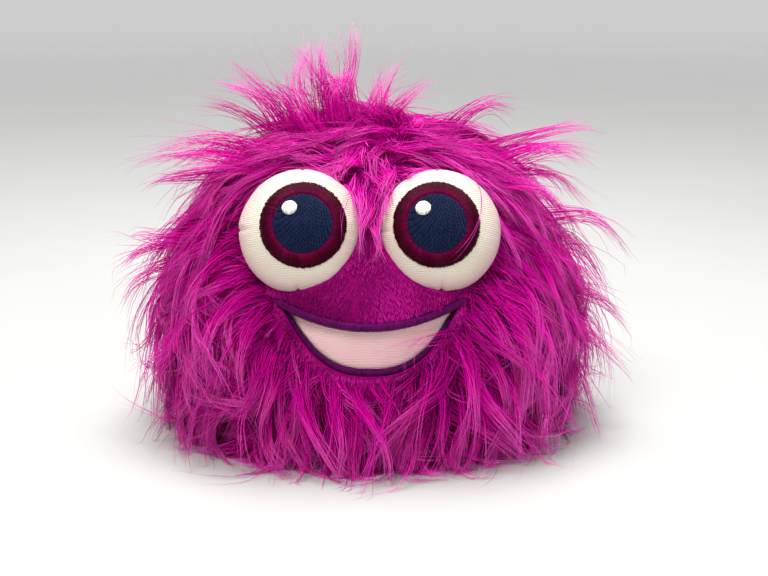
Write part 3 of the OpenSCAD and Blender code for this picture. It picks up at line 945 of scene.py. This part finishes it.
def makeJawCloth():  # over and beside the foam of the jaw, seen with the mouth open
    half, play = backing["jawHalf"], backing["play"]
    r = skinR + 1.2 * mm
    opening = math.radians(max(abs(limit) for limit in frame["joints"][0]["range_deg"]))

    def lowest(x):
        flat = math.sqrt(r ** 2 - x ** 2)
        return fold.z - flat * math.sin(math.asin((fold.z - baseTop - 0.6 * mm) / flat) - opening)

    chin = panelOnBall(
        "chinBacking", half + 3 * mm, lambda x: baseTop, lambda x: chinCurve(x) - 1.6 * mm,
        skinR + 2.4 * mm, 48, 20,
    )
    squashed(cloth(chin, 0.6 * mm, -1))
    apron = panelOnBall(
        "chinApron", half - play, lowest, lambda x: chinCurve(x) + 1 * mm, skinR - 1.2 * mm, 40, 12,
    )
    cloth(apron, 0.5 * mm, -1, "jaw")
    for side, word in bothSides:
        def turnedIn(u, v):
            z = baseTop + (u + 0.5) * (backing["jawTop"] - baseTop)
            return ballPoint(side * (half + 0.3 * mm), z, skinR + 0.9 * mm - (v + 0.5) * backing["hem"])

        cloth(panel(f"{word}CheekHem", 24, 4, turnedIn), 0.5 * mm, 0)
    gum = panelOnBall(
        "upperGum", half + play, lambda x: fold.z + 1.5 * mm, lambda x: lipCurve(x) + 3 * mm,
        skinR - 3.6 * mm, 40, 10,
    )
    cloth(gum, 0.14 * mm, 0, "head", "lining", "mouth_lining")


# Short nap of the face panel, and beside the lower lip
nap = {"length": 3.4 * mm, "width": 0.17 * mm, "lay": 0.75, "stand": 0.62, "drift": 0.55}
facePanel = {"half": 50 * mm, "top": 131 * mm, "naps": 10500, "swell": 0.6 * mm, "lift": 1.6 * mm}
chinNap = {"band": 8 * mm, "naps": 2600, "past": 2 * mm, "lift": 2.2 * mm}


def swell(at):  # the stuffing shows a little through the panel
    return noise.noise(Vector(at) * 60) * facePanel["swell"]


def napHair(name, roots, rng):
    out = outward(roots)
    drift = np.array([noise.noise_vector(Vector(p) * 45) for p in roots])
    lay = unit(drift * nap["drift"] + (0, 0, -0.7) + rng.normal(0, 0.25, roots.shape))
    share = np.linspace(0, 1, 4)[None, :, None]
    reach = nap["length"] * rng.uniform(0.6, 1.1, (len(roots), 1, 1))
    hair = roots[:, None] + reach * (
        out[:, None] * share * nap["stand"] + lay[:, None] * share ** 1.7 * nap["lay"]
    )
    radii = nap["width"] * np.array([[1, 0.95, 0.8, 0.2]]) * np.ones((len(roots), 1))
    mottle = np.array([noise.noise(Vector(p) * 70) for p in roots])
    return tubes(name, hair, radii, np.clip(0.5 + 1.2 * mottle + rng.normal(0, 0.3, len(roots)), 0, 1))


def makeFacePanel():
    half, top, r = facePanel["half"], facePanel["top"], skinR + facePanel["lift"]
    piece = panelOnBall("facePanel", half, lipCurve, lambda x: top, r, 80, 60)
    for v in piece.data.vertices:
        v.co += (v.co - fold).normalized() * swell(v.co)
    solidified(piece, 1.2 * mm, 0)
    rng = np.random.default_rng(5)
    x = rng.uniform(-half, half, facePanel["naps"])
    foot = lipCurve(x) + 1.5 * mm
    roots = ballPoint(x, foot + rng.uniform(0, 1, len(x)) * (top - foot), r)
    clear = np.all([intoEye(roots, side)[1] > eyeRimR - 2 * mm for side, word in bothSides], 0)
    roots = roots[clear]
    lift = np.array([swell(p) for p in roots]) + 0.3 * mm
    naps = napHair("naps", roots + outward(roots) * lift[:, None], rng)
    paint(piece.data, "tint", [0.45 + 0.6 * noise.noise(v.co * 55) for v in piece.data.vertices])
    finish(joined("facePanel", [piece, naps]), "head", "nap", "face_cloth", "face_panel")

    half = backing["jawHalf"] + chinNap["past"]
    x = rng.uniform(-half, half, chinNap["naps"])
    z = chinCurve(x) - 1.8 * mm - rng.uniform(0, 1, len(x)) ** 1.5 * chinNap["band"]
    roots = ballPoint(x, z, skinR + chinNap["lift"])
    piece = napHair("chinNap", roots[z > baseTop + 2 * mm], rng)
    squashed(finish(piece, "head", "nap", "fur"))


# Embroidery
thread = {
    "pitch": 0.62 * mm, "radius": 0.36 * mm, "lean": 0.10,
    "fillPitch": 0.66 * mm, "fillLength": 3.6 * mm, "fillTilt": 0.05 * mm, "shortest": 0.3 * mm,
}
glint = {"radius": 3.4 * mm, "up": 10, "across": -9, "pitch": 0.4 * mm, "lift": 0.8 * mm}


def stitches(name, starts, ends, lift, normals, rng, radius=thread["radius"], steps=5):
    share = np.linspace(0, 1, steps)[None, :, None]
    arch = (1 - (2 * share - 1) ** 4) * lift
    path = starts[:, None] * (1 - share) + ends[:, None] * share + normals[:, None] * arch
    radii = radius * rng.uniform(0.85, 1.1, (len(starts), 1)) * np.ones((1, steps))
    return tubes(name, path, radii, rng.uniform(0, 1, len(starts)), 4)


def domePoints(x, y, height, turn):  # from flat embroidery to the turned dome, in the eye's frame
    r = eye["domeR"] + height
    z = np.sqrt(np.maximum(eye["domeR"] ** 2 - x ** 2 - y ** 2, 0)) * r / eye["domeR"]
    flat = np.stack([x * r / eye["domeR"], y * r / eye["domeR"], z], -1)
    flat = flat @ np.array(turn.to_3x3()).T
    return flat + (0, 0, eye["apex"] - eye["domeR"])


def embroider(side, turn, x0, y0, x1, y1, height, lift, rng):
    starts = outOfEye(domePoints(x0, y0, height, turn), side)
    ends = outOfEye(domePoints(x1, y1, height, turn), side)
    middle = outOfEye(np.array([0, 0, eye["apex"] - eye["domeR"]]), side)
    return stitches("threads", starts, ends, lift, unit((starts + ends) / 2 - middle), rng)


def gaze(side, up=0.0, across=0.0):
    return (
        Matrix.Rotation(math.radians(-side * eye["gazeIn"] + across), 4, "Y")
        @ Matrix.Rotation(-math.radians(eye["gazeUp"] + up), 4, "X")
    )


def discOnDome(side, turn, inner, outer, height, crown):
    share = np.linspace(0, 1, 11)
    r = inner + (outer - inner) * share
    bulge = 1 - (2 * share - 1) ** 2 if inner else 1 - share ** 4
    top = domePoints(r, 0 * r, height + crown * np.sqrt(np.maximum(bulge, 0)), Matrix())
    foot = domePoints(r, 0 * r, 0 * r, Matrix())
    piece = spun("pad", top.tolist() + foot[::-1].tolist(), closed=True)
    middle = Matrix.Translation((0, 0, eye["apex"] - eye["domeR"]))
    piece.data.transform(eyeMatrix(side) @ middle @ turn @ middle.inverted())
    for name in ("along", "tint"):
        paint(piece.data, name, np.full(len(piece.data.vertices), 0.2))
    return piece


def sewOn(word, label, material, pieces):
    name = label.lower()
    finish(joined(word + label, pieces), "head", material, f"{name}_thread", f"{word}_{name}")


def makeIris(side, word):
    rng = np.random.default_rng(20 + side)
    turn = gaze(side)
    inner, outer = eye["pupilR"] - 0.1 * mm, eye["irisR"]
    pad = discOnDome(side, turn, inner, outer - 0.3 * mm, 0.15 * mm, 0.45 * mm)
    count = int(math.tau * outer / thread["pitch"])
    angle = np.arange(count) * math.tau / count
    ahead = angle + thread["lean"]
    near = inner + rng.uniform(-0.25, 0.15, count) * mm
    far = outer + rng.uniform(-0.3, 0.25, count) * mm
    threads = embroider(
        side, turn, near * np.cos(angle), near * np.sin(angle), far * np.cos(ahead), far * np.sin(ahead),
        0.15 * mm, 0.6 * mm, rng,
    )
    sewOn(word, "Iris", "iris", [pad, threads])


def makePupil(side, word):
    rng = np.random.default_rng(30 + side)
    turn = gaze(side) @ Matrix.Rotation(math.radians(78), 4, "Z")
    radius = eye["pupilR"] - 0.1 * mm
    pad = discOnDome(side, turn, 0, radius, 0.1 * mm, 0.1 * mm)
    rows = []  # each stitch's start, height and end
    for i, y in enumerate(np.arange(-radius + 0.2 * mm, radius, thread["fillPitch"])):
        half = math.sqrt(max(radius ** 2 - y ** 2, 0)) + rng.uniform(-0.15, 0.15) * mm
        first = -half - (i * 0.37 % 1) * thread["fillLength"]
        cuts = np.append(np.arange(first, half, thread["fillLength"]), half)
        cuts = np.unique(np.clip(cuts, -half, half))
        rows += [(a, y, b) for a, b in zip(cuts[:-1], cuts[1:]) if b - a > thread["shortest"]]
    x0, y, x1 = np.array(rows).T
    tilt = thread["fillTilt"]
    threads = embroider(side, turn, x0, y - tilt, x1, y + tilt, 0.2 * mm, 0.28 * mm, rng)
    sewOn(word, "Pupil", "pupil", [pad, threads])


def makeGlint(side, word):
    rng = np.random.default_rng(40 + side)
    turn = gaze(side, glint["up"], glint["across"])
    radius, lift = glint["radius"], glint["lift"]
    pad = discOnDome(side, turn, 0, radius - 0.2 * mm, lift, 0.2 * mm)
    rows = np.arange(-radius + 0.15 * mm, radius, glint["pitch"])
    half = np.sqrt(radius ** 2 - rows ** 2)
    threads = embroider(side, turn, rows, -half, rows + 0.1 * mm, half, lift, 0.35 * mm, rng)
    sewOn(word, "Catchlight", "glint", [pad, threads])


eyeCover = {
    "darts": (math.pi, -math.pi / 2, math.pi / 2), "dartWidth": 0.022, "dartDepth": 1.5 * mm,
    "puckers": 34, "puckerDepth": 0.16 * mm, "unevenness": 0.35 * mm, "fill": 0.85,
}


def makeEyeCover(side, word):
    section = arc(0, eye["apex"] - eye["domeR"], eye["domeR"], 0, domeTurn, 14)
    section += arc(rimX, rimZ, eye["rimR"], domeTurn, rimTurn, 12)[1:]
    section += [(section[-1][0] * share, 0, eyeBackZ) for share in (0.7, 0.35, 0)]
    piece = spun(f"{word}EyeCover", section, 144)
    rim = []
    for v in piece.data.vertices:
        x, y, z = v.co
        r, turn = math.hypot(x, y), math.atan2(y, x)
        outer = clamp((r - 19 * mm) / (11 * mm))
        pinch = sum(
            math.exp(-(math.remainder(turn - dart, math.tau) / eyeCover["dartWidth"]) ** 2)
            for dart in eyeCover["darts"]
        )
        soft = noise.noise(Vector((math.cos(turn), math.sin(turn), r * 40 + side)) * 1.7)
        pucker = math.sin(turn * eyeCover["puckers"] + 3 * soft) * eyeCover["puckerDepth"]
        drop = outer ** 2 * (eyeCover["dartDepth"] * pinch + pucker)
        z += -drop + eyeCover["unevenness"] * soft * clamp((r - 22 * mm) / (5 * mm))
        scale = 1 - 0.018 * pinch * outer + 0.022 * soft * outer
        v.co = (x * scale, y * scale, z)
        # rim: how far towards the rim colour, as painted reflection and shade, and fully on the back
        rim.append(clamp((r - 21 * mm) / (9 * mm)) ** 1.5 * 0.85 if z > eyeBackZ else 1)
    piece.data.transform(eyeMatrix(side))
    paint(piece.data, "rim", rim)
    finish(piece, "head", "eyeCloth", "eye_cloth", f"{word}_eye_cover", f"{word}_eye_filling")


# Lips and teeth
lips = {
    "upperLip": {
        "curve": lipCurve, "half": smile["half"] + 3 * mm, "width": 4.3 * mm, "height": 2.2 * mm,
        "lift": 2.2 * mm, "seed": 50, "body": "head", "node": "upper_lip_cord",
    },
    "lowerLip": {
        "curve": chinCurve, "half": smile["half"] - 1.5 * mm, "width": 3.2 * mm, "height": 1.5 * mm,
        "lift": -0.6 * mm, "seed": 51, "body": "jaw", "node": "lower_lip_cord",
    },
    "taper": 3 * mm, "thinnest": 0.35, "lean": 0.4 * mm,
}


def lipTaper(x, half):  # thinner at its ends
    return np.clip((half - np.abs(x)) / lips["taper"], lips["thinnest"], 1)


def makeLip(name):  # satin stitches laid across a cord
    lip = lips[name]
    curve, half, r, lean = lip["curve"], lip["half"], skinR + lip["lift"], lips["lean"]
    rng = np.random.default_rng(lip["seed"])
    x = np.linspace(-half, half, int(2 * half * 1.12 / thread["pitch"]))
    slope = np.gradient(curve(x), x)
    way = unit(np.stack([-slope, np.ones_like(slope)], 1))
    reach = lip["width"] / 2 * lipTaper(x, half) * rng.uniform(0.93, 1.05, len(x))
    starts = ballPoint(x - way[:, 0] * reach - lean, curve(x) - way[:, 1] * reach, r)
    ends = ballPoint(x + way[:, 0] * reach + lean, curve(x) + way[:, 1] * reach, r)
    threads = stitches("threads", starts, ends, lip["height"], outward((starts + ends) / 2), rng, steps=7)
    x = np.linspace(-half + 0.5 * mm, half - 0.5 * mm, 60)
    thick = lipTaper(x, half)[None] * lip["height"] * 0.85
    cord = tubes("core", ballPoint(x, curve(x), r + 0.1 * mm)[None], thick, np.array([0.2]), sides=12)
    finish(joined(name, [cord, threads]), lip["body"], "lip", "lip_thread", lip["node"])


teeth = {
    "deep": 2.6 * mm, "puff": 2.2 * mm, "pucker": 0.22 * mm, "crease": 0.5 * mm,
    "under": 1 * mm, "over": 3 * mm, "wall": 0.8 * mm, "fill": 0.6,
}


def makeTeeth():
    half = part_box("teeth_panel")[1].x
    rim = []

    def place(u, v):
        x, share = 2 * half * u, v + 0.5
        foot, top = float(chinCurve(x)) - teeth["under"], float(lipCurve(x)) + teeth["over"]
        z = foot + share * (top - foot)
        edge = min(share, 1 - abs(2 * u))  # distance from the sewn edges
        puff = teeth["puff"] * min(1, 1.6 * edge + 0.02) ** 0.5
        wave = math.sin(x / mm * 1.9 + 2 * noise.noise(Vector((u, v, 0)) * 6))
        pucker = teeth["pucker"] * wave * max(0, 1 - 6 * share)
        crease = teeth["crease"] * noise.noise(Vector((x * 26, z * 60, 3)))
        rim.append(max(0, 1 - 7 * edge) * 0.8)
        return ballPoint(x, z, skinR - teeth["deep"] + max(puff + pucker + crease, 0))

    piece = panel("teethPanel", 140, 60, place)
    paint(piece.data, "rim", rim)
    solidified(piece, teeth["wall"], -1)
    finish(piece, "jaw", "teethCloth", "teeth_cloth", "teeth_panel")


# Sleeve, cuff, label, base
sleeve = {"wall": 0.8 * mm, "folds": 1.9 * mm}
cuff = {
    "round": 0.7, "gathers": 46, "gather": 0.5 * mm,
    "stitch": 3.4 * mm, "run": 2.4 * mm, "seamAt": 0.3, "threadR": 0.24 * mm,
}
label = {"curl": 1.6 * mm, "wave": 0.5 * mm, "waves": 260, "wall": 0.35 * mm, "edge": 0.1 * mm}
base = {"edge": 1.5 * mm, "seamIn": 7 * mm, "stitch": 3.6 * mm, "run": 2.5 * mm, "threadR": 0.2 * mm}


def makeSleeve():
    inner = sleeveR - 1.2 * mm
    ys = np.linspace(sleeveFront, cuffFront + 6 * mm, 60)
    piece = spun("sleeveLining", [(inner, y, fold.z) for y in ys], 180, (0, 1, 0), fold)
    for v in piece.data.vertices:
        way = Vector((v.co.x, 0, v.co.z - fold.z)).normalized()
        share = (v.co.y - sleeveFront) / (sleeveBack - sleeveFront)
        crease = noise.noise(Vector((way.x * 5, way.z * 5, share * 2.4)))
        fine = noise.noise(Vector((way.x * 14, way.z * 14, share * 5 + 7)))
        v.co += way * sleeve["folds"] * (0.8 * crease + 0.35 * fine) * min(1, 5 * (1.02 - share))
    finish(solidified(piece, sleeve["wall"], 0), "head", "glove", "glove_cloth", "hand_sleeve")


def ringSeam(pointAt, step, run, lift, normals, radius, rng):  # running stitches, with turns in radians
    angle = np.arange(0, math.tau, step)
    starts = pointAt(angle)
    return stitches("seam", starts, pointAt(angle + run), lift, normals(starts), rng, radius)


def rounded(value):  # squarer than a circle
    return math.copysign(abs(value) ** cuff["round"], value)


def makeCuff():
    rng = np.random.default_rng(60)
    thick, inner = cuffR - sleeveR, sleeveR + 0.1 * mm
    deep = sleeveBack - cuffFront
    section = []
    for i in range(20):
        turn = math.tau * i / 20
        r = (inner + cuffR) / 2 + rounded(math.cos(turn)) * thick / 2
        y = (cuffFront + sleeveBack) / 2 + rounded(math.sin(turn)) * deep / 2
        section.append((r, y, fold.z))
    ring = spun("ring", section, 240, (0, 1, 0), fold, closed=True)
    for v in ring.data.vertices:
        flat = Vector((v.co.x, 0, v.co.z - fold.z))
        way = flat.normalized()
        outer = clamp((flat.length - inner - 1 * mm) / thick)
        gather = math.sin(cuff["gathers"] * math.atan2(flat.z, flat.x) + 4 * noise.noise(way * 3))
        v.co += way * cuff["gather"] * (gather + noise.noise(way * 6) - 1) * outer
    r = cuffR + 0.05 * mm
    y = cuffFront + cuff["seamAt"] * deep
    seam = ringSeam(
        lambda a: np.stack([r * np.cos(a), y + 0 * a, r * np.sin(a) + fold.z], 1),
        cuff["stitch"] / cuffR, cuff["run"] / cuffR, 0.25 * mm,
        lambda at: unit(at - (0, y, fold.z)), cuff["threadR"], rng,
    )
    finish(joined("sleeveCuff", [ring, seam]), "head", "glove", "glove_cloth", "sleeve_cuff")


def makeLabel():
    low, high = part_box("care_label")

    def place(u, v):
        x, share = u * (high.x - low.x), v + 0.5
        wave = label["wave"] * math.cos(x * label["waves"]) * (1 - share)
        return x, high.y + label["curl"] * (1 - share) ** 2 + wave, low.z + share * (high.z - low.z)

    piece = solidified(panel("careLabel", 14, 14, place), label["wall"], 0)
    edge = piece.modifiers.new("edge", "BEVEL")
    edge.width, edge.segments = label["edge"], 2
    finish(withModifiers(piece), "head", "label", "label", "care_label")


def makeBase():
    rng = np.random.default_rng(70)
    edge = base["edge"]
    section = [(0, 0, baseTop), (baseR * 0.5, 0, baseTop), (baseR - 2 * mm, 0, baseTop)]
    for i in range(9):
        turn = math.pi / 2 - math.pi * i / 8
        section.append((baseR - edge + edge * math.cos(turn), 0, baseTop / 2 * (1 + math.sin(turn))))
    groove = ((4, 0.1), (7, 0.5), (10, 0.1))  # in from the edge and up, in mm
    section += [(baseR - inwards * mm, 0, up * mm) for inwards, up in groove]
    section += [(baseR * share, 0, 0) for share in (0.75, 0.5, 0.25, 0)]
    r = baseR - base["seamIn"]
    seam = ringSeam(
        lambda a: np.stack([r * np.cos(a), r * np.sin(a), 0.5 * mm + 0 * a], 1),
        base["stitch"] / r, base["run"] / r, 0.15 * mm,
        lambda at: 0 * at + (0, 0, -1), base["threadR"], rng,
    )
    finish(joined("basePanel", [spun("disc", section), seam]), "head", "skin", "face_cloth", "base_panel")


def dressNodes():  # the inside keeps its own shapes and gets cloth
    choices = {
        "wadding": ["filling"], "board": ["mouth_board"], "lining": ["mouth_lining", "cheek_lining"],
        "glove": ["pocket", "hand_sleeve"], "tape": ["hinge_tape"], "skin": ["eye_backing"],
    }
    for material, words in choices.items():
        for name, node in frame["nodes"].items():
            if any(word in name for word in words):
                node.material_slots[0].material = materials[material]


makeCamera()
makeLight()
makeStage()
print("stage set")
makeBacking()
makeCollar()
makeJawCloth()
makeFacePanel()
print("cloth skin and face panel made")
for side, word in bothSides:
    makeEyeCover(side, word)
    makeIris(side, word)
    makePupil(side, word)
    makeGlint(side, word)
print("eyes embroidered")
makeLip("upperLip")
makeLip("lowerLip")
makeTeeth()
print("mouth made")
makeSleeve()
makeCuff()
makeLabel()
makeBase()
dressNodes()
print("glove and base dressed")
makePile()
makeSprays()
makeStrays()
print("pile combed")
